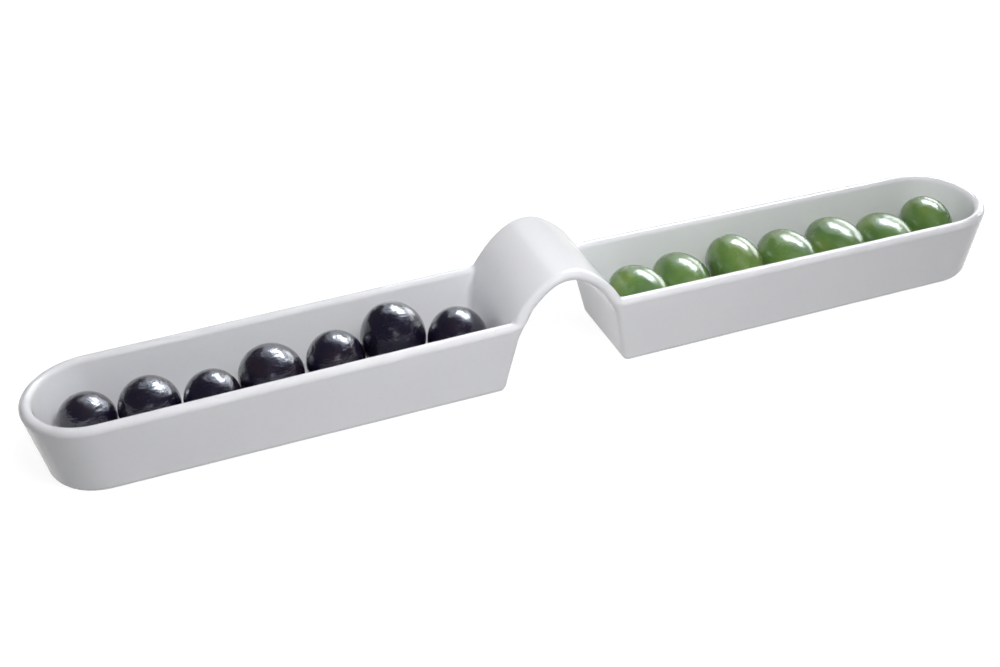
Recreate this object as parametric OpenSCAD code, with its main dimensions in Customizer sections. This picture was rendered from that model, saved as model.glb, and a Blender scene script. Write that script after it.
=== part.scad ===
/* [Dish] */
// overall length of the dish over both far ends (mm)
overall_len = 360; // [320:1:420]
// width over the rims of a trough (mm)
rim_width = 45; // [44:0.5:60]
// rim height where the troughs meet the bridge (mm)
rim_h = 28.8; // [28:0.1:34]
// rim height at the far round ends (mm)
rim_h_end = 27; // [26:0.1:28]
// thickness of the walls and of the strap (mm)
wall_t = 4; // [3:0.1:5]
// thickness of the floor (mm)
floor_t = 4.2; // [3:0.1:5]
// outward lean of the walls (degrees)
lean = 8.8; // [4:0.1:10]

/* [Bridge] */
// distance between the two end walls where they meet the table (mm)
gap_base = 46.3; // [43:0.1:50]
// height of the top of the arch (mm)
arch_top = 44.4; // [42:0.1:48]
// radius of the tight bend over the top, along the middle of the strap (mm)
crown_r = 9.5; // [7:0.1:12]
// radius of the wider bends that come down to the end walls (mm)
shoulder_r = 23.5; // [21:0.1:25]
// width of the strap (mm)
strap_w = 43.6; // [36:0.1:44.5]

/* [Foot] */
// height of the small upright band at the base (mm)
foot_h = 1.2; // [0.8:0.1:2]
// how far the foot band is set in from the wall above it (mm)
foot_inset = 0.3; // [0.2:0.1:0.8]

/* [Olives] */
// diameter of an ordinary black olive (mm)
black_d = 20; // [16:0.1:20.5]
// diameter of an ordinary green olive (mm)
green_d = 20; // [16:0.1:20.4]

/* [Hidden] */
$fn = 96;
porcelain = [0.93, 0.94, 0.95];
black_skin = [0.08, 0.06, 0.09];
green_skin = [0.36, 0.48, 0.24];

r = wall_t / 2;                       // radius of the rolled rim
w = rim_width / 2;                    // half width at the rim
cx = overall_len / 2 - w;             // centre of the round far end
crown_z = arch_top - r - crown_r;     // height of the crown bend's centre
turn_over = [0.28, 0.96];             // direction in which the bends meet, 16.3 degrees off upright
shoulder_x = -(shoulder_r - crown_r) * turn_over[0];
shoulder_z = crown_z - (shoulder_r - crown_r) * turn_over[1];
// where the strap lands on the end wall, gap side
seat_x = shoulder_x + sqrt(pow(shoulder_r - r, 2) - pow(rim_h - shoulder_z, 2));
end_lean = atan((gap_base / 2 - seat_x) / rim_h);         // lean of the end wall
fall = atan((rim_h - rim_h_end) / (overall_len / 2 - seat_x)); // fall of the rim line
run = (cx - seat_x + r * sin(fall)) / cos(fall);          // straight length of the rim
deep = 60;                            // longer than any wall is high
corner_r = 2.5;                       // outer upright corners
inner_r = 3;                          // inner upright corners

// the outer face of a side wall, seen end on: how far it lies from the rim frame's origin
face = (w - r) * cos(lean) + r * sin(lean) + r;
// half width of the outer faces at a depth below the rim
function half_at(depth) = (face - depth * sin(lean)) / cos(lean);
// the depth at which the leaning faces are as wide as the rim
side_depth = (face - w * cos(lean)) / sin(lean);

foot_w = half_at(rim_h - foot_h) - foot_inset;            // half width of the foot
wall_x = gap_base / 2 - foot_h * tan(end_lean);           // end wall just above the foot
foot_x = wall_x + foot_inset;                             // near end of the foot
below = 5;                                                // walls are drawn this far below the table, then cut
low_x = gap_base / 2 + below * tan(end_lean);             // gap face at that depth

// outward unit normals of the side face (-y side) and of the end face
n_side = [-sin(lean) * sin(fall), -cos(lean), -sin(lean) * cos(fall)];
n_end = [-cos(end_lean), 0, -sin(end_lean)];
c_side = face + n_side * [seat_x, 0, rim_h];
c_end = n_end * [gap_base / 2, 0, 0];

// one wall seen end on: a leaning bar with a round top, its rim centre at u = 0
module wall_section() {
  translate([0, -r]) {
    circle(r);
    rotate(-lean) translate([-r, -deep]) square([wall_t, deep]);
  }
}

// the frame that follows the rim: x runs outward along it, z = 0 is its top
module rim_frame() {
  translate([seat_x, 0, rim_h]) rotate([0, fall, 0]) children();
}

// plan of the foot: near end with small round corners, round far end
module foot_plan() {
  translate([cx, 0]) circle(foot_w);
  translate([foot_x + corner_r, -foot_w]) square([cx - foot_x - corner_r, 2 * foot_w]);
  translate([foot_x, -foot_w + corner_r]) square([2 * corner_r, 2 * (foot_w - corner_r)]);
  for (s = [-1, 1])
    translate([foot_x + corner_r, s * (foot_w - corner_r)]) circle(corner_r);
}

module straight_wall() {
  translate([-2, w - r, 0]) rotate([90, 0, 90]) linear_extrude(run + 2) wall_section();
}

// the two straight walls and the half-round far wall
module leaning_walls() {
  rim_frame() {
    straight_wall();
    mirror([0, 1, 0]) straight_wall();
    translate([run, 0, 0]) rotate([0, 0, -90]) rotate_extrude(angle = 180)
      translate([w - r, 0]) wall_section();
  }
}

// everything on the trough's side of the end wall's gap face
module outside_gap() {
  rotate([90, 0, 0]) linear_extrude(200, center = true)
    polygon([[low_x, -below], [seat_x - 9 * tan(end_lean), rim_h + 9],
      [300, rim_h + 9], [300, -below]]);
}

// flat end wall toward the bridge, as wide as the leaning side walls; its gap
// face is cut by outside_gap
module end_wall() {
  back = wall_t / cos(end_lean);
  intersection() {
    rotate([90, 0, 0]) linear_extrude(200, center = true)
      polygon([[low_x - 4, -below], [seat_x - 4, rim_h], [seat_x + back, rim_h], [low_x + back, -below]]);
    rim_frame() translate([-8, 0, 0]) rotate([90, 0, 90]) linear_extrude(44)
      polygon([[w, 1], [w, -side_depth], [half_at(deep), -deep],
        [-half_at(deep), -deep], [-w, -side_depth], [-w, 1]]);
  }
}

// a prism along the edge between side and end face, in from both faces by `inset`:
// the wedge toward the edge, less a rod of radius rc that touches both faces
module corner_wedge(inset, rc, reach) {
  ax = (c_end - inset - rc) / n_end[0];
  ay = (c_side - inset - rc - n_side[0] * ax) / n_side[1];
  v = cross(n_end, n_side) / norm(cross(n_end, n_side));
  y = cross(v, n_side);
  m = [n_end * n_side, n_end * y];
  multmatrix([[n_side[0], y[0], v[0], ax], [n_side[1], y[1], v[1], ay],
      [n_side[2], y[2], v[2], 0], [0, 0, 0, 1]])
    translate([0, 0, -10]) linear_extrude(60) difference() {
      polygon([[0, 0], [reach, 0], reach * ([1, 0] + m), reach * m]);
      circle(rc);
    }
}

module both_sides() {
  children();
  mirror([0, 1, 0]) children();
}

module both_ends() {
  children();
  mirror([1, 0, 0]) children();
}

module trough() {
  linear_extrude(floor_t) foot_plan();
  intersection() {
    difference() {
      intersection() {
        union() {
          leaning_walls();
          end_wall();
        }
        outside_gap();
      }
      both_sides() corner_wedge(0, corner_r, 3 * corner_r);
    }
    translate([0, -60, foot_h]) cube([300, 120, 60]);
  }
  // soft inner corners
  intersection() {
    both_sides() corner_wedge(wall_t, inner_r, inner_r + 1);
    translate([0, -50, floor_t - 1]) cube([100, 100, rim_h - r - floor_t + 1]);
  }
}

module right_trough() {
  color(porcelain) trough();
}

module left_trough() {
  color(porcelain) mirror([1, 0, 0]) trough();
}

// the strap's strip with rounded edges, bent into a full ring
module ring(radius) {
  half = strap_w / 2 - r;
  rotate([90, 0, 0]) rotate_extrude() translate([radius - r, 0]) {
    translate([0, -half]) square([wall_t, 2 * half]);
    for (s = [-1, 1]) translate([r, s * half]) circle(r);
  }
}

// part of the upright plane x-z, drawn through the whole width
module through_width(points) {
  rotate([90, 0, 0]) linear_extrude(200, center = true) polygon(points);
}

// strap over the finger gap: a tight bend over the top and a wider one at each
// side, standing on the end walls
module bridge_handle() {
  far = [0, crown_z] + 100 * turn_over;
  color(porcelain) intersection() {
    union() {
      intersection() {
        translate([0, 0, crown_z]) ring(crown_r);
        through_width([[0, crown_z], far, [-far[0], far[1]]]);
      }
      both_ends() intersection() {
        translate([shoulder_x, 0, shoulder_z]) ring(shoulder_r);
        through_width([[shoulder_x, shoulder_z], far, [far[0] + 60, shoulder_z]]);
      }
    }
    translate([-60, -60, rim_h]) cube([120, 120, 60]);
  }
}

// an olive resting on the floor: half sizes along x, y and z
module olive(x, y, half, turn = 0) {
  translate([x, y, floor_t + 0.15 + half[2]]) rotate([0, 0, turn])
    scale(half) sphere(1);
}

// black olives are nearly round: place along the trough, across it, size factor,
// and height over width
module black_olive(x, y, k, tall = 1) {
  a = black_d / 2 * k;
  color(black_skin) olive(x, y, [a, a, a * tall]);
}

// green olives are oval and lie across the trough, each turned a little
module green_olive(x, y, k, tall = 1, turn = 0) {
  a = green_d / 2 * k;
  color(green_skin) olive(x, y, [a, a * 1.38, a * tall], turn);
}

module black_olive_1() { black_olive(-160.8, 4, 0.966, 0.939); }
module black_olive_2() { black_olive(-140.5, 1.7, 1.04, 0.976); }
module black_olive_3() { black_olive(-120.2, -2.7, 0.964, 1.058); }
module black_olive_4() { black_olive(-99.5, 2.1, 1.124, 0.964); }
module black_olive_5() { black_olive(-77.2, 1.7, 1.016, 1.066); }
module black_olive_6() { black_olive(-55.5, 5, 1.15, 1.117); }
module black_olive_7() { black_olive(-34.6, -3.1, 1.059, 1.085); }

module green_olive_1() { green_olive(35.53, -2.59, 0.973, 1.141, 18.4); }
module green_olive_2() { green_olive(55.53, 2.59, 0.977, 1.003, 7.4); }
module green_olive_3() { green_olive(77.61, 3.1, 0.957, 1.155, 4.5); }
module green_olive_4() { green_olive(98.68, 0.17, 1.034, 0.996, 3.9); }
module green_olive_5() { green_olive(120.03, 0.98, 1.045, 0.987, 0.1); }
module green_olive_6() { green_olive(142.2, 0.02, 1.01, 0.893, 4.6); }
module green_olive_7() { green_olive(162.75, 3.3, 0.839, 1.19, 5.8); }

left_trough();
right_trough();
bridge_handle();
black_olive_1();
black_olive_2();
black_olive_3();
black_olive_4();
black_olive_5();
black_olive_6();
black_olive_7();
green_olive_1();
green_olive_2();
green_olive_3();
green_olive_4();
green_olive_5();
green_olive_6();
green_olive_7();
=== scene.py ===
import math

import bpy
import numpy as np
from mathutils import Matrix, Vector


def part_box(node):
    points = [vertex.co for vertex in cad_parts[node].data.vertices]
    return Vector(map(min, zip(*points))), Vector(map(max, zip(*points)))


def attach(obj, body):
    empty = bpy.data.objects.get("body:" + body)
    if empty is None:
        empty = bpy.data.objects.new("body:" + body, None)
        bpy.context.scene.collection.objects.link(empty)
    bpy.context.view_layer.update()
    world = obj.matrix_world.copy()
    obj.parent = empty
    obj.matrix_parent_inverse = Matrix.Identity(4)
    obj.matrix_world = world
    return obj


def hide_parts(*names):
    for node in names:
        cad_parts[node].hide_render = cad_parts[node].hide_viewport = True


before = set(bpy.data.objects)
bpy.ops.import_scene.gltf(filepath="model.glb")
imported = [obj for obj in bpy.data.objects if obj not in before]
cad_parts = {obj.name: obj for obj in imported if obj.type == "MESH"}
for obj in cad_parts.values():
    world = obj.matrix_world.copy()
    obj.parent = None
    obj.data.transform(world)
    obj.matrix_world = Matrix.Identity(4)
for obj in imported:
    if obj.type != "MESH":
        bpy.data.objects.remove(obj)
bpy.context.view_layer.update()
scene = bpy.context.scene
MM = 0.001

# ---------------------------------------------------------------- camera


def make_camera():
    """The photograph's viewpoint, for a 1000 x 667 picture."""
    az, el, roll = (math.radians(a) for a in (-18.9852, 33.5121, -2.5419))
    back = Vector(
        (math.sin(az) * math.cos(el), -math.cos(az) * math.cos(el), math.sin(el))
    )
    target = Vector((-17.8231, -0.0002, 11.6145)) * MM
    right = (-back).cross(Vector((0, 0, 1))).normalized()
    up = right.cross(-back)
    right, up = (
        math.cos(roll) * right + math.sin(roll) * up,
        -math.sin(roll) * right + math.cos(roll) * up,
    )
    data = bpy.data.cameras.new("camera")
    data.sensor_width = 36.0
    data.lens = 36.0 * 1297.3642 / 1000.0
    data.clip_start, data.clip_end = 0.01, 50.0
    cam = bpy.data.objects.new("camera", data)
    scene.collection.objects.link(cam)
    m = Matrix((right, up, back)).transposed().to_4x4()
    m.translation = target + back * 461.935 * MM
    cam.matrix_world = m
    scene.camera = cam


make_camera()

# ---------------------------------------------------------------- node helpers


def material(name):
    mat = bpy.data.materials.new(name)
    mat.use_nodes = True
    tree = mat.node_tree
    tree.nodes.clear()
    out = tree.nodes.new("ShaderNodeOutputMaterial")
    bsdf = tree.nodes.new("ShaderNodeBsdfPrincipled")
    tree.links.new(bsdf.outputs[0], out.inputs[0])
    return mat, tree, bsdf


def place(tree, scale=(1, 1, 1), shift=(0, 0, 0)):
    """Object coordinates, scaled and shifted."""
    where = tree.nodes.new("ShaderNodeTexCoord")
    m = tree.nodes.new("ShaderNodeMapping")
    m.inputs["Scale"].default_value = scale
    m.inputs["Location"].default_value = shift
    tree.links.new(where.outputs["Object"], m.inputs["Vector"])
    return m.outputs[0]


def noise(tree, vector, scale, detail=3.0, roughness=0.5, distortion=0.0):
    n = tree.nodes.new("ShaderNodeTexNoise")
    n.inputs["Scale"].default_value = scale
    n.inputs["Detail"].default_value = detail
    n.inputs["Roughness"].default_value = roughness
    n.inputs["Distortion"].default_value = distortion
    tree.links.new(vector, n.inputs["Vector"])
    return n.outputs["Fac"]


def ramp(tree, value, stops):
    n = tree.nodes.new("ShaderNodeValToRGB")
    cr = n.color_ramp
    while len(cr.elements) < len(stops):
        cr.elements.new(0.5)
    for e, (at, colour) in zip(cr.elements, stops):
        e.position = at
        e.color = (*colour, 1.0)
    tree.links.new(value, n.inputs[0])
    return n.outputs[0]


def remap(tree, value, lo, hi, to_lo, to_hi):
    n = tree.nodes.new("ShaderNodeMapRange")
    for key, v in zip(("From Min", "From Max", "To Min", "To Max"), (lo, hi, to_lo, to_hi)):
        n.inputs[key].default_value = v
    tree.links.new(value, n.inputs["Value"])
    return n.outputs[0]


def mix(tree, fac, a, b, blend="MIX"):
    n = tree.nodes.new("ShaderNodeMix")
    n.data_type = "RGBA"
    n.blend_type = blend
    for socket, v in ((n.inputs[0], fac), (n.inputs[6], a), (n.inputs[7], b)):
        if isinstance(v, bpy.types.NodeSocket):
            tree.links.new(v, socket)
        elif isinstance(v, (int, float)):
            socket.default_value = v
        else:
            socket.default_value = (*v, 1.0)
    return n.outputs[2]


def bump(tree, bsdf, height, distance, strength=1.0, under=None):
    n = tree.nodes.new("ShaderNodeBump")
    n.inputs["Strength"].default_value = strength
    n.inputs["Distance"].default_value = distance
    tree.links.new(height, n.inputs["Height"])
    if under is not None:
        tree.links.new(under, n.inputs["Normal"])
    if bsdf is not None:
        tree.links.new(n.outputs[0], bsdf.inputs["Normal"])
    return n.outputs[0]


# ---------------------------------------------------------------- porcelain shape
# Sizes in millimetres, as in the CAD source.

R = 2.0  # half the wall's thickness, and the radius of the rolled rim
HALF_W = 22.5  # half width over the rims
RIM_H = 28.8
SEAT_X = 14.404
FALL = math.atan(1.8 / (180.0 - SEAT_X))
RUN = (157.5 - SEAT_X + R * math.sin(FALL)) / math.cos(FALL)
LEAN = math.radians(8.8)
FLOOR_T = 4.2
FOOT_H, FOOT_IN = 1.2, 0.4
STRAP_W = 43.6

# middle line of strap and end wall, from the crown down: a tight arc over the
# top, a wider one on the shoulder, then straight to the table
CROWN_Z, CROWN_R, CROWN_A = 42.45, 11.84, math.radians(31.4)
SHOULDER_R = 31.18
END_X = 24.66
CX1, CZ1 = 0.0, CROWN_Z - CROWN_R
CX2 = CX1 - (SHOULDER_R - CROWN_R) * math.sin(CROWN_A)
CZ2 = CZ1 - (SHOULDER_R - CROWN_R) * math.cos(CROWN_A)


def shoulder_end():
    """The angle at which a tangent to the shoulder arc reaches END_X on the table."""
    lo, hi = CROWN_A, math.radians(89.5)
    for _ in range(60):
        mid = (lo + hi) / 2
        x = CX2 + SHOULDER_R * math.sin(mid)
        z = CZ2 + SHOULDER_R * math.cos(mid)
        if x + z * math.cos(mid) / math.sin(mid) > END_X:
            lo = mid
        else:
            hi = mid
    return (lo + hi) / 2


SHOULDER_A = shoulder_end()
LEG_X = CX2 + SHOULDER_R * math.sin(SHOULDER_A)
LEG_Z = CZ2 + SHOULDER_R * math.cos(SHOULDER_A)


def smooth(t):
    t = np.clip(t, 0, 1)
    return t * t * t * (t * (6 * t - 15) + 10)


def blend_min(a, b, k):
    """Union with a soft fillet of about k."""
    h = np.maximum(k - np.abs(a - b), 0) / k
    return np.minimum(a, b) - h * h * h * k / 6


def round_both(a, b, radius):
    """Intersection with its edge rounded to the radius."""
    return np.minimum(np.maximum(a, b), -radius) + np.hypot(
        np.maximum(a + radius, 0), np.maximum(b + radius, 0)
    )


def dish_distance(p):
    """How far points lie outside the glazed surface, in mm."""
    x, y, z = np.abs(p[..., 0]), np.abs(p[..., 1]), p[..., 2]
    # the rim's own frame: along it, and up from it
    along = (x - SEAT_X) * math.cos(FALL) - (z - RIM_H) * math.sin(FALL)
    up = (x - SEAT_X) * math.sin(FALL) + (z - RIM_H) * math.cos(FALL)
    out = np.where(along <= RUN, y, np.hypot(along - RUN, y))
    u, v = out - (HALF_W - R), up + R
    down = -u * math.sin(LEAN) - v * math.cos(LEAN)
    across = u * math.cos(LEAN) - v * math.sin(LEAN)
    wall = np.hypot(across, np.minimum(down, 0)) - R
    side = across - R
    # the strap and the two end walls are one bent sheet
    a1 = np.arctan2(x - CX1, z - CZ1)
    a2 = np.arctan2(x - CX2, z - CZ2)
    bend = np.where(
        a1 <= CROWN_A,
        np.hypot(x - CX1, z - CZ1) - CROWN_R,
        np.where(
            a2 <= SHOULDER_A,
            np.hypot(x - CX2, z - CZ2) - SHOULDER_R,
            (x - LEG_X) * math.sin(SHOULDER_A) + (z - LEG_Z) * math.cos(SHOULDER_A),
        ),
    )
    reach = (HALF_W - R) + (R + np.minimum(v, 0.4) * math.sin(LEAN)) / math.cos(LEAN)
    reach = reach - (HALF_W - STRAP_W / 2) * smooth((z - 27.0) / 8.0)
    strap = np.hypot(bend, np.maximum(y - (reach - R), 0)) - R
    # soft inside corners, tighter where the rim meets the strap
    body = blend_min(wall, strap, 4.2 - 2.4 * smooth((z - 21.0) / 6.0))
    body = blend_min(body, z - FLOOR_T, 5.0)
    # outer faces, with a low foot band set in under them
    hull = round_both(side, -bend - R, 2.2)
    hull = hull + FOOT_IN * (1 - smooth((z - FOOT_H + 0.3) / 0.6))
    hull = round_both(hull, -z, 0.7)
    return np.maximum(body, hull)


def slope(f, p, h=0.01):
    g = np.empty_like(p)
    for i in range(3):
        d = np.zeros(3)
        d[i] = h
        g[:, i] = (f(p + d) - f(p - d)) / (2 * h)
    return g


def graded(stops):
    """Grid lines from (position, spacing) pairs; the spacing changes evenly between them."""
    line = [stops[0][0]]
    for (a, sa), (b, sb) in zip(stops, stops[1:]):
        n = max(1, round((b - a) / ((sa + sb) / 2)))
        t = np.linspace(0, 1, n + 1)[1:]
        w = t * sa + (sb - sa) * t * t / 2
        line.extend(a + (b - a) * w / w[-1])
    return np.array(line)


def skin(f, xs, ys, zs):
    """Quads on f = 0: one vertex in each grid cell that the surface crosses."""
    grid = np.stack(np.meshgrid(xs, ys, zs, indexing="ij"), -1)
    val = f(grid)
    n = np.array(val.shape)
    total = np.zeros((*(n - 1), 3))
    count = np.zeros(n - 1)
    quads = []
    cell = np.full(n - 1, -1)
    crossings = []
    for ax in range(3):
        lo = [slice(None)] * 3
        hi = [slice(None)] * 3
        lo[ax], hi[ax] = slice(0, -1), slice(1, None)
        va, vb = val[tuple(lo)], val[tuple(hi)]
        cross = (va < 0) != (vb < 0)
        t = np.where(cross, va / np.where(cross, va - vb, 1), 0)[..., None]
        at = grid[tuple(lo)] * (1 - t) + grid[tuple(hi)] * t
        b, c = [i for i in range(3) if i != ax]
        for db in (0, 1):
            for dc in (0, 1):
                s = [slice(None)] * 3
                s[b] = slice(db, db + n[b] - 1)
                s[c] = slice(dc, dc + n[c] - 1)
                total += np.where(cross[tuple(s)][..., None], at[tuple(s)], 0)
                count += cross[tuple(s)]
        crossings.append((ax, b, c, np.argwhere(cross), va))
    used = count > 0
    cell[used] = np.arange(used.sum())
    verts = total[used] / count[used][:, None]
    for ax, b, c, where, va in crossings:
        ring = []
        for db, dc in ((-1, -1), (0, -1), (0, 0), (-1, 0)):
            at = where.copy()
            at[:, b] += db
            at[:, c] += dc
            ring.append(cell[tuple(at.T)])
        q = np.stack(ring, 1)
        # b, c follow ax in the order that makes a right-handed turn, except for y
        inside_low = va[tuple(where.T)] < 0
        turn = inside_low if ax != 1 else ~inside_low
        q[~turn] = q[~turn][:, ::-1]
        quads.append(q)
    return verts, np.concatenate(quads)


def settle(f, verts, quads, rounds):
    """Evens out the vertices along the surface, then puts them exactly on it."""
    edges = np.concatenate([quads[:, [i, (i + 1) % 4]] for i in range(4)])
    edges = np.unique(np.sort(edges, 1), axis=0)
    degree = np.bincount(edges.ravel(), minlength=len(verts))[:, None]
    for i in range(rounds + 3):
        if i < rounds:
            near = np.zeros_like(verts)
            np.add.at(near, edges[:, 0], verts[edges[:, 1]])
            np.add.at(near, edges[:, 1], verts[edges[:, 0]])
            step = near / degree - verts
            g = slope(f, verts)
            g /= np.linalg.norm(g, axis=1)[:, None] + 1e-12
            step -= (step * g).sum(1)[:, None] * g
            verts = verts + 0.45 * step
        g = slope(f, verts)
        verts = verts - (f(verts) / ((g * g).sum(1) + 1e-9))[:, None] * g
    return verts


def new_mesh(name, verts, quads, normals=None):
    """A smooth object from arrays in mm."""
    mesh = bpy.data.meshes.new(name)
    mesh.vertices.add(len(verts))
    mesh.vertices.foreach_set("co", (np.asarray(verts) * MM).astype(np.float32).ravel())
    mesh.loops.add(quads.size)
    mesh.loops.foreach_set("vertex_index", quads.astype(np.int32).ravel())
    mesh.polygons.add(len(quads))
    mesh.polygons.foreach_set("loop_start", np.arange(0, quads.size, 4, dtype=np.int32))
    mesh.polygons.foreach_set("use_smooth", np.ones(len(quads), dtype=bool))
    mesh.update(calc_edges=True)
    mesh.validate()
    if normals is not None:
        mesh.normals_split_custom_set_from_vertices(normals.tolist())
    obj = bpy.data.objects.new(name, mesh)
    scene.collection.objects.link(obj)
    return obj


def make_dish():
    half_x = graded([(0, 0.7), (30, 0.8), (48, 2.4), (132, 2.4), (150, 1.0), (181.5, 0.8)])
    half_y = graded([(0, 1.5), (12, 1.2), (15, 0.75), (23.5, 0.75)])
    xs = np.concatenate([-half_x[:0:-1], half_x]) + 0.011
    ys = np.concatenate([-half_y[:0:-1], half_y]) + 0.007
    zs = graded([(-0.9, 0.4), (2.0, 0.5), (6.0, 0.8), (12, 1.3), (20, 1.1), (26, 0.6), (46.5, 0.7)])
    verts, quads = skin(dish_distance, xs, ys, zs)
    verts = settle(dish_distance, verts, quads, 4)
    n = slope(dish_distance, verts, 0.05)
    n /= np.linalg.norm(n, axis=1)[:, None] + 1e-12
    return new_mesh("porcelain_dish", verts, quads, n)


def porcelain():
    """White glazed porcelain: even cool white, with the slight mottle and ripple of a fired glaze."""
    mat, tree, bsdf = material("porcelain")
    soft = noise(tree, place(tree), 26.0, 4.0, 0.55)
    fine = noise(tree, place(tree, shift=(3.1, 1.7, 0.4)), 900.0, 3.0, 0.6)
    base = ramp(
        tree,
        soft,
        [(0.25, (0.905, 0.910, 0.942)), (0.5, (0.920, 0.925, 0.954)), (0.75, (0.932, 0.936, 0.960))],
    )
    specks = ramp(tree, fine, [(0.2, (0.955, 0.955, 0.95)), (0.42, (1, 1, 1)), (1.0, (1, 1, 1))])
    colour = mix(tree, 1.0, base, specks, "MULTIPLY")
    tree.links.new(colour, bsdf.inputs["Base Color"])
    rough = remap(tree, noise(tree, place(tree, shift=(0.3, 5.0, 2.0)), 55.0, 4.0, 0.6), 0.3, 0.7, 0.05, 0.10)
    tree.links.new(rough, bsdf.inputs["Roughness"])
    bsdf.inputs["IOR"].default_value = 1.5
    bsdf.inputs["Specular IOR Level"].default_value = 0.42
    ripple = noise(tree, place(tree, shift=(7.0, 0.0, 1.0)), 45.0, 2.0, 0.4)
    first = bump(tree, None, ripple, 0.00035, 0.55)
    peel = noise(tree, place(tree, shift=(1.0, 9.0, 4.0)), 420.0, 2.0, 0.5)
    bump(tree, bsdf, peel, 0.00005, 0.35, under=first)
    return mat


dish = make_dish()
dish.data.materials.append(porcelain())
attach(dish, "dish")
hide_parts("left_trough", "right_trough", "bridge_handle")

# ---------------------------------------------------------------- olives


def cube_sphere(n):
    """Unit sphere of six square patches, so that it has no poles."""
    t = np.tan(np.linspace(-1, 1, n + 1) * math.pi / 4)
    a, b = np.meshgrid(t, t, indexing="ij")
    one = np.ones_like(a)
    sides = [(one, a, b), (-one, b, a), (b, one, a), (a, -one, b), (a, b, one), (b, a, -one)]
    verts, quads, start = [], [], 0
    i = np.arange(n)[:, None] * (n + 1) + np.arange(n)[None]
    q = np.stack([i, i + n + 1, i + n + 2, i + 1], -1).reshape(-1, 4)
    for s in sides:
        verts.append(np.stack([c.ravel() for c in s], 1))
        quads.append(q + start)
        start += (n + 1) ** 2
    v = np.concatenate(verts)
    v /= np.linalg.norm(v, axis=1)[:, None]
    q = np.concatenate(quads)
    key, first, back = np.unique(np.round(v * 1e6).astype(np.int64), axis=0, return_index=True, return_inverse=True)
    v, q = v[first], back.ravel()[q]
    mid = v[q].mean(1)
    turn = np.cross(v[q[:, 1]] - v[q[:, 0]], v[q[:, 2]] - v[q[:, 0]])
    wrong = (turn * mid).sum(1) < 0
    q[wrong] = q[wrong][:, ::-1]
    return v, q


SPHERE_V, SPHERE_Q = cube_sphere(26)


def waves(rng, v, count, low, high):
    """A smooth random field on the sphere, from 0 to 1."""
    total = np.zeros(len(v))
    for _ in range(count):
        d = rng.normal(size=3)
        d /= np.linalg.norm(d)
        total += rng.uniform(0.5, 1) * np.sin(rng.uniform(low, high) * (v @ d) + rng.uniform(0, 6.28))
    total -= total.min()
    return total / total.max()


GREEN_OVAL = 1.38  # length of a green olive over its width


def make_olive(name, seed, kind, stem, turn=0.0):
    """An olive that fills its CAD solid: slightly uneven, with a shallow stem scar.
    The long axis of a green one is turned by `turn` degrees from y."""
    rng = np.random.default_rng(seed)
    lo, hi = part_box(name)
    lo, hi = np.array(lo) / MM, np.array(hi) / MM
    centre, half = (lo + hi) / 2, (hi - lo) / 2
    t = math.radians(turn)
    if kind == "green":
        half[0] = math.hypot(half[0], half[1]) / math.hypot(1, GREEN_OVAL)
        half[1] = half[0] * GREEN_OVAL
    v = SPHERE_V
    uneven = 0.020 if kind == "black" else 0.015
    r = 1.013 - uneven * waves(rng, v, 7, 1.2, 3.2)
    stem = np.array(stem, float)
    stem /= np.linalg.norm(stem)
    ang = np.degrees(np.arccos(np.clip(v @ stem, -1, 1)))
    r -= 0.050 * np.exp(-((ang / 9.0) ** 2))
    r += 0.012 * np.exp(-(((ang - 15.0) / 6.0) ** 2))
    tip = np.degrees(np.arccos(np.clip(-(v @ stem), -1, 1)))
    r -= 0.012 * np.exp(-((tip / 5.0) ** 2))
    # no lower than the solid, so that it doesn't sink into the floor
    r = np.minimum(r, np.where(v[:, 2] < -0.5, 1.0, 1.013))
    verts = v * half * r[:, None]
    verts = centre + verts @ np.array(
        [[math.cos(t), math.sin(t), 0], [-math.sin(t), math.cos(t), 0], [0, 0, 1]]
    )
    obj = new_mesh(name + "_skin", verts, SPHERE_Q)
    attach(obj, name)
    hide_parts(name)
    return obj


def black_skin(seed):
    """Near-black ripe skin: purple with browner patches, pale pores, wet gloss."""
    rng = np.random.default_rng(900 + seed)
    mat, tree, bsdf = material(f"black_olive_skin_{seed}")
    shift = tuple(rng.uniform(-9, 9, 3))
    patch = noise(tree, place(tree, shift=shift), 95.0, 3.0, 0.5)
    warm = rng.uniform(0.4, 0.6)
    base = ramp(
        tree,
        patch,
        [
            (0.28, (0.0045, 0.0032, 0.0130)),
            (0.5, (0.0080, 0.0048, 0.0180)),
            (0.62 + 0.1 * warm, (0.0190, 0.0105, 0.0180)),
        ],
    )
    pores = noise(tree, place(tree, shift=shift), 1500.0, 2.0, 0.5)
    dots = ramp(tree, pores, [(0.66, (0, 0, 0)), (0.76, (0.030, 0.024, 0.034)), (1.0, (0.034, 0.028, 0.036))])
    tree.links.new(mix(tree, 1.0, base, dots, "ADD"), bsdf.inputs["Base Color"])
    rough = remap(tree, noise(tree, place(tree, shift=shift), 240.0, 4.0, 0.6), 0.3, 0.7, 0.17, 0.30)
    tree.links.new(rough, bsdf.inputs["Roughness"])
    bsdf.inputs["IOR"].default_value = 1.6
    bsdf.inputs["Specular Tint"].default_value = (0.86, 0.88, 1.0, 1.0)
    bsdf.inputs["Coat Weight"].default_value = 1.0
    bsdf.inputs["Coat Roughness"].default_value = 0.17
    bsdf.inputs["Coat IOR"].default_value = 1.6
    folds = noise(tree, place(tree, (1, 1, 2.2), shift), 130.0, 3.0, 0.5, 0.5)
    first = bump(tree, None, folds, 0.0011, 0.55)
    fine = noise(tree, place(tree, (1.0, 1.0, 2.5), shift), 520.0, 4.0, 0.6, 0.4)
    second = bump(tree, bsdf, fine, 0.00024, 0.5, under=first)
    tree.links.new(second, bsdf.inputs["Coat Normal"])
    return mat


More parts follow.
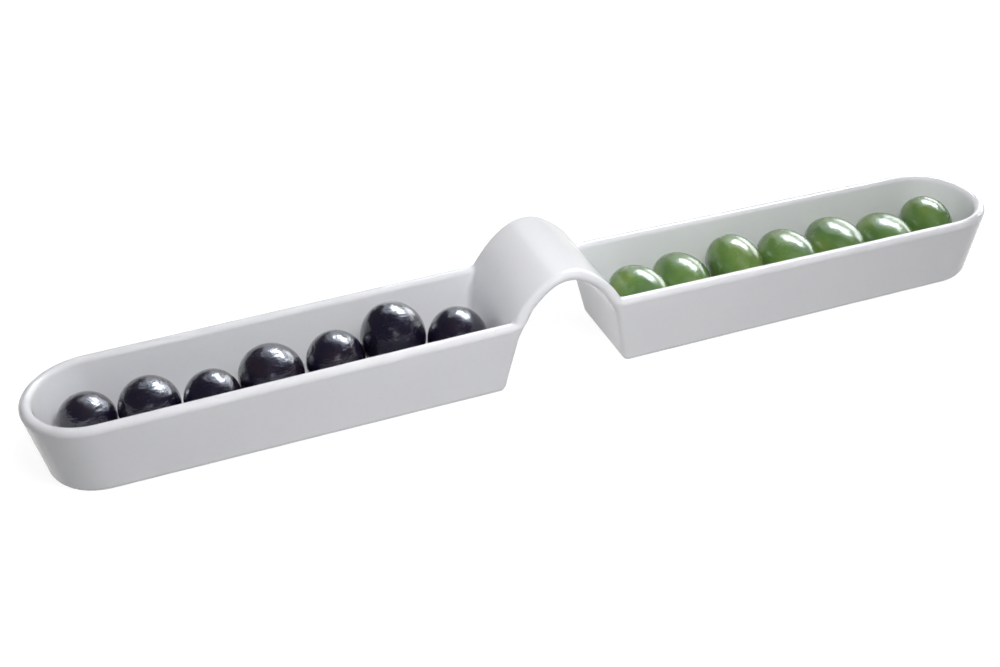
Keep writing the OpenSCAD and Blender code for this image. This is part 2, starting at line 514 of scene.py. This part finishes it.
def green_skin(seed):
    """Green brined skin: fresh green to olive, yellower in patches, pale flecks, wet gloss."""
    rng = np.random.default_rng(700 + seed)
    mat, tree, bsdf = material(f"green_olive_skin_{seed}")
    shift = tuple(rng.uniform(-9, 9, 3))
    patch = noise(tree, place(tree, shift=shift), 80.0, 3.0, 0.5)
    base = ramp(
        tree,
        patch,
        [
            (0.28, (0.086, 0.172, 0.052)),
            (0.5, (0.124, 0.235, 0.060)),
            (0.72, (0.190, 0.285, 0.062)),
        ],
    )
    flecks = noise(tree, place(tree, shift=shift), 1300.0, 2.0, 0.5)
    dots = ramp(tree, flecks, [(0.6, (0, 0, 0)), (0.74, (0.035, 0.045, 0.018)), (1.0, (0.05, 0.06, 0.03))])
    tree.links.new(mix(tree, 1.0, base, dots, "ADD"), bsdf.inputs["Base Color"])
    rough = remap(tree, noise(tree, place(tree, shift=shift), 200.0, 4.0, 0.6), 0.3, 0.7, 0.17, 0.30)
    tree.links.new(rough, bsdf.inputs["Roughness"])
    bsdf.inputs["IOR"].default_value = 1.5
    bsdf.inputs["Coat Weight"].default_value = 0.75
    bsdf.inputs["Coat Roughness"].default_value = 0.24
    bsdf.inputs["Coat IOR"].default_value = 1.5
    bsdf.inputs["Subsurface Weight"].default_value = 0.15
    bsdf.inputs["Subsurface Radius"].default_value = (0.5, 1.0, 0.25)
    bsdf.inputs["Subsurface Scale"].default_value = 0.002
    folds = noise(tree, place(tree, shift=shift), 110.0, 3.0, 0.5, 0.3)
    first = bump(tree, None, folds, 0.0010, 0.5)
    fine = noise(tree, place(tree, shift=shift), 800.0, 3.0, 0.6)
    bump(tree, bsdf, fine, 0.00012, 0.5, under=first)
    tree.links.new(first, bsdf.inputs["Coat Normal"])
    return mat


BLACK_STEMS = [(0.3, 0.9, 0.1), (-0.7, 0.6, 0.2), (0.8, 0.4, -0.3), (-0.2, 0.95, 0.1), (0.5, 0.8, -0.2), (-0.4, 0.9, 0.0), (0.6, 0.7, 0.2)]
GREEN_TURNS = [18.4, 7.4, 4.5, 3.9, 0.1, 4.6, 5.8]
GREEN_STEMS = [(0.1, 1, 0.05), (-0.1, 1, 0.1), (0.05, 1, -0.1), (0.0, -1, -0.2), (0.1, 1, 0.0), (-0.1, 1, 0.05), (0.0, 1, 0.1)]
for i in range(7):
    o = make_olive(f"black_olive_{i + 1}", 11 + i, "black", BLACK_STEMS[i])
    o.data.materials.append(black_skin(i + 1))
    o = make_olive(f"green_olive_{i + 1}", 41 + i, "green", GREEN_STEMS[i], GREEN_TURNS[i])
    o.data.materials.append(green_skin(i + 1))

# ---------------------------------------------------------------- floor and light


def make_floor(name, level, albedo, glow):
    """A wide pale sheet. `level` is its height in mm."""
    n = 24
    t = np.linspace(-4000, 4000, n + 1)
    x, y = np.meshgrid(t, t, indexing="ij")
    verts = np.stack([x.ravel(), y.ravel(), np.full(x.size, level)], 1)
    i = np.arange(n)[:, None] * (n + 1) + np.arange(n)[None]
    quads = np.stack([i, i + n + 1, i + n + 2, i + 1], -1).reshape(-1, 4)
    floor = new_mesh(name, verts, quads)
    mat, tree, bsdf = material(name)
    bsdf.inputs["Base Color"].default_value = (albedo, albedo, albedo, 1)
    bsdf.inputs["Roughness"].default_value = 0.9
    bsdf.inputs["Specular IOR Level"].default_value = 0.1
    bsdf.inputs["Emission Color"].default_value = (1, 1, 1, 1)
    bsdf.inputs["Emission Strength"].default_value = glow
    floor.data.materials.append(mat)
    return floor


def softbox(name, azimuth, elevation, distance, width, height, radiance, colour=(1, 1, 1), gives="both", tilt=0.0):
    """A rectangular light that faces the dish. Azimuth 0 is the front and 90 the right.
    It gives diffuse light, gloss, or both."""
    a, e = math.radians(azimuth), math.radians(elevation)
    d = Vector((math.sin(a) * math.cos(e), -math.cos(a) * math.cos(e), math.sin(e)))
    light = bpy.data.lights.new(name, "AREA")
    light.shape = "RECTANGLE"
    light.size, light.size_y = width, height
    light.energy = radiance * math.pi * width * height
    light.color = colour
    obj = bpy.data.objects.new(name, light)
    obj.location = d * distance + Vector((0, 0, 0.02))
    across = Vector((0, 0, 1)).cross(d).normalized()
    up = d.cross(across)
    t = math.radians(tilt)
    across, up = (
        math.cos(t) * across + math.sin(t) * up,
        -math.sin(t) * across + math.cos(t) * up,
    )
    m = Matrix((across, up, d)).transposed().to_4x4()
    m.translation = obj.location
    obj.matrix_world = m
    obj.visible_camera = False
    obj.visible_glossy = gives != "diffuse"
    obj.visible_diffuse = gives != "gloss"
    obj.visible_transmission = gives != "gloss"
    scene.collection.objects.link(obj)
    return obj


def make_world(diffuse, gloss):
    """A plain room: white to the eye, even soft light, and dim where it is mirrored."""
    world = bpy.data.worlds.new("studio")
    world.use_nodes = True
    tree = world.node_tree
    tree.nodes.clear()
    out = tree.nodes.new("ShaderNodeOutputWorld")
    path = tree.nodes.new("ShaderNodeLightPath")

    def wall(colour, strength):
        b = tree.nodes.new("ShaderNodeBackground")
        b.inputs[0].default_value = (*colour, 1)
        b.inputs[1].default_value = strength
        return b.outputs[0]

    def pick(fac, a, b):
        m = tree.nodes.new("ShaderNodeMixShader")
        tree.links.new(fac, m.inputs[0])
        tree.links.new(a, m.inputs[1])
        tree.links.new(b, m.inputs[2])
        return m.outputs[0]

    room = pick(
        path.outputs["Is Glossy Ray"],
        wall((0.95, 0.965, 1.0), diffuse),
        wall((0.90, 0.93, 1.0), gloss),
    )
    room = pick(path.outputs["Is Camera Ray"], room, wall((1, 1, 1), 0.93))
    tree.links.new(room, out.inputs[0])
    scene.world = world


shown = make_floor("floor", -0.05, 0.26, 0.91)
shown.visible_diffuse = shown.visible_shadow = False
under = make_floor("floor_bounce", -0.15, 0.60, 0.0)
under.visible_camera = under.visible_glossy = False
make_world(0.06, 0.07)
softbox("key", 116, 27, 1.3, 2.5, 1.45, 0.40, gives="diffuse")
softbox("fill_low", -19, 30, 0.30, 0.12, 0.10, 0.4, gives="diffuse")
softbox("fill_mid", -16, 55, 0.30, 0.12, 0.10, 6.4, gives="diffuse")
softbox("fill_high", -12, 66, 0.45, 0.20, 0.20, 6.6, gives="diffuse")
softbox("fill_right", 16, 64, 0.6, 0.25, 0.25, 2.9, gives="diffuse")
softbox("fill_back", 176, 14, 1.3, 2.0, 0.5, 0.9, gives="diffuse")
softbox("window_back", 142, 18.5, 1.3, 2.0, 0.86, 0.85, (0.97, 0.985, 1.0), gives="gloss")
softbox("window_side", 119, 14, 1.28, 1.0, 0.60, 4.2, (0.95, 0.975, 1.0), gives="gloss")
softbox("window_high", 140, 58, 1.3, 2.0, 0.9, 1.4, (0.84, 0.92, 1.0), gives="gloss", tilt=-6)
softbox("window_core", 136, 49, 1.28, 0.9, 0.46, 17.0, (0.88, 0.94, 1.0), gives="gloss", tilt=-6)
softbox("glint", -5, 33, 1.4, 0.10, 0.07, 22.0, gives="gloss")

scene.view_settings.view_transform = "Standard"
scene.view_settings.look = "None"
scene.view_settings.exposure = 0.0
scene.view_settings.gamma = 1.0
